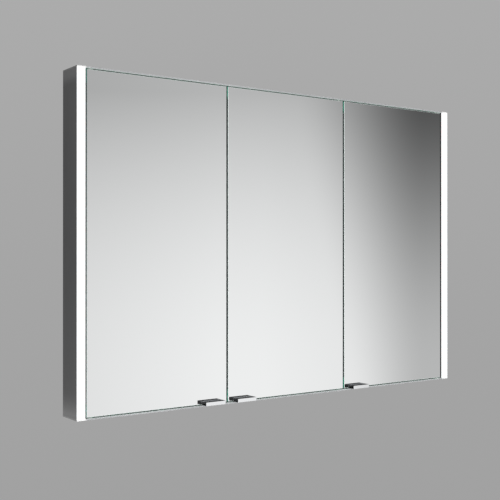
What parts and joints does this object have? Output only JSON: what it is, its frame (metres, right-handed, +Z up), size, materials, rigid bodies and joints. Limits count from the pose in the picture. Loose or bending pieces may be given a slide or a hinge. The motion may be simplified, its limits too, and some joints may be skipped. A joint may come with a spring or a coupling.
{
  "type": "mirror cabinet",
  "caption": "Wall-hung mirror cabinet with frameless mirror doors on vertical pivots, chrome edge handles, glass shelves and full-height glowing side strips.",
  "frame": {"origin": "centre of the wall face, half way across and half way up", "axes": "+X to the viewer's right, +Y into the wall, +Z up; the doors face -Y"},
  "size_m": [1.05, 0.0824, 0.7],
  "materials": {
    "anodised_dark": "satin anodised",
    "panel_satin": "satin powder coat",
    "aluminium_satin": "satin anodised",
    "zinc_plate": "zinc plated",
    "steel_screw": "bright plated",
    "channel_aluminium": "mill finish",
    "board_white": "white solder mask",
    "led_phosphor": "phosphor",
    "opal_acrylic": "opal, lit",
    "white_plastic": "moulded",
    "wire_pvc": "moulded",
    "black_rubber": "matt",
    "black_plastic": "moulded",
    "button_plastic": "moulded",
    "shelf_glass": "clear, polished edges",
    "nickel_satin": "satin nickel",
    "nylon_bush": "moulded",
    "ferrite": "sintered",
    "mirror_glass": "silvered, polished edges",
    "handle_chrome": "polished",
    "strike_steel": "nickel plated"
  },
  "bodies": {
    "carcass": {"side_outer_left": "anodised_dark", "side_outer_right": "anodised_dark", "side_inner_left": "panel_satin", "side_inner_right": "panel_satin", "top_panel": "aluminium_satin", "bottom_panel": "aluminium_satin", "back_panel": "panel_satin", "partition_left": "panel_satin", "partition_right": "panel_satin", "corner_brackets": "zinc_plate", "carcass_screws": "steel_screw", "hanger_plates": "zinc_plate", "light_channel_left": "channel_aluminium", "light_channel_right": "channel_aluminium", "led_board_left": "board_white", "led_board_right": "board_white", "led_chips": "led_phosphor", "diffuser_left": "opal_acrylic", "diffuser_right": "opal_acrylic", "led_driver": "white_plastic", "driver_cover": "panel_satin", "led_wires": "wire_pvc", "cable_grommet": "black_rubber", "switch_housing": "black_plastic", "shelf_left_lower": "shelf_glass", "shelf_left_upper": "shelf_glass", "shelf_middle_lower": "shelf_glass", "shelf_middle_upper": "shelf_glass", "shelf_right_lower": "shelf_glass", "shelf_right_upper": "shelf_glass", "shelf_pegs": "nickel_satin", "pivot_bushings": "nylon_bush", "catch_housings": "white_plastic", "catch_magnets": "ferrite"},
    "door_left": {"left_front_mirror": "mirror_glass", "left_rear_mirror": "mirror_glass", "left_handle": "handle_chrome", "left_handle_pad": "black_rubber", "left_handle_grubs": "steel_screw", "left_pivot_blocks": "nickel_satin", "left_pivot_pins": "steel_screw", "left_strike": "strike_steel"},
    "door_middle": {"middle_front_mirror": "mirror_glass", "middle_rear_mirror": "mirror_glass", "middle_handle": "handle_chrome", "middle_handle_pad": "black_rubber", "middle_handle_grubs": "steel_screw", "middle_pivot_blocks": "nickel_satin", "middle_pivot_pins": "steel_screw", "middle_strike": "strike_steel"},
    "door_right": {"right_front_mirror": "mirror_glass", "right_rear_mirror": "mirror_glass", "right_handle": "handle_chrome", "right_handle_pad": "black_rubber", "right_handle_grubs": "steel_screw", "right_pivot_blocks": "nickel_satin", "right_pivot_pins": "steel_screw", "right_strike": "strike_steel"},
    "switch_button": {"switch_button": "button_plastic"}
  },
  "joints": [
    {"name": "door_left_pivot", "type": "hinge", "parent": "carcass", "child": "door_left", "pos_m": [-0.4923, -0.0554, 0], "axis": [0, 0, 1], "range_deg": [-95, 0]},
    {"name": "door_middle_pivot", "type": "hinge", "parent": "carcass", "child": "door_middle", "pos_m": [0.15603, -0.0554, 0], "axis": [0, 0, 1], "range_deg": [0, 95]},
    {"name": "door_right_pivot", "type": "hinge", "parent": "carcass", "child": "door_right", "pos_m": [0.4923, -0.0554, 0], "axis": [0, 0, 1], "range_deg": [0, 95]},
    {"name": "switch_press", "type": "slide", "parent": "carcass", "child": "switch_button", "axis": [0, 1, 0], "range_m": [0, 0.002], "stiffness_N_per_m": 300}
  ]
}
